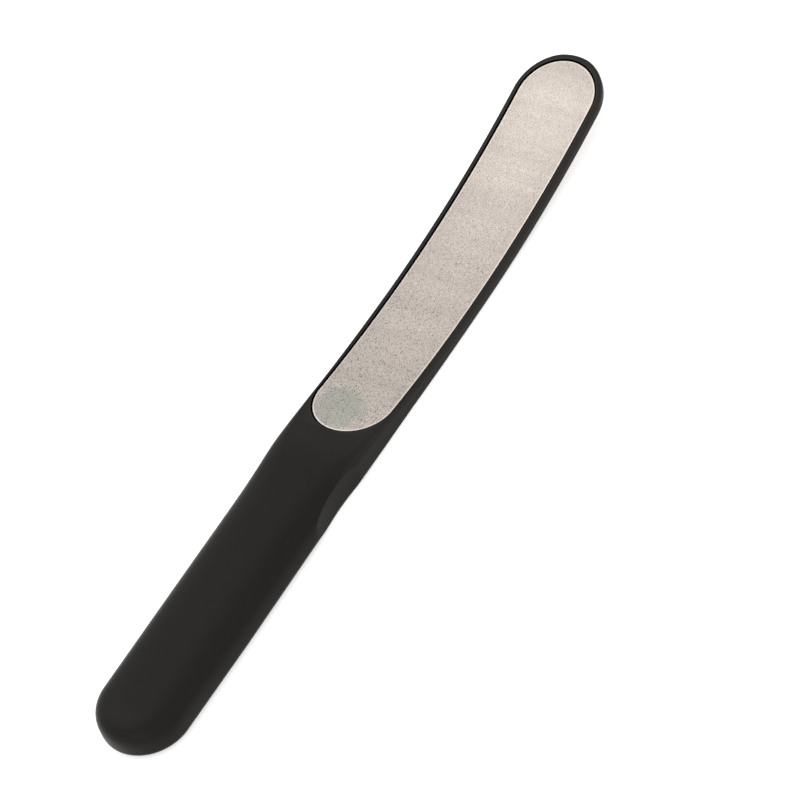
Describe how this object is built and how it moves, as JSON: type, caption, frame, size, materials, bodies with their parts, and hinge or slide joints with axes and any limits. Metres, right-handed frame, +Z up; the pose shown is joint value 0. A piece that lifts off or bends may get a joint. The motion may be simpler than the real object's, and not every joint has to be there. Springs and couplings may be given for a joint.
{
  "type": "foot file",
  "caption": "Hand-held foot file: flat paddle handle with side finger hollows and an arched blade carrying a round-ended abrasive plate on each face.",
  "frame": {"origin": "under the middle of the file, on the surface it rests on with its front face up", "axes": "+X from the handle's end to the blade's tip, +Z up through the front abrasive face, +Y to the left when looking down with the tip ahead"},
  "size_m": [0.26, 0.0296, 0.0131],
  "materials": {
    "body": "matte soft-touch black",
    "coarse_plate": "warm nickel with raised curls, satin",
    "fine_plate": "warm nickel with fine raised grit, satin",
    "adhesive": "thin translucent grey pressure-sensitive film"
  },
  "bodies": {
    "root": {"body": "body", "front_abrasive_plate": "coarse_plate", "front_adhesive_film": "adhesive", "rear_abrasive_plate": "fine_plate", "rear_adhesive_film": "adhesive"}
  },
  "joints": []
}
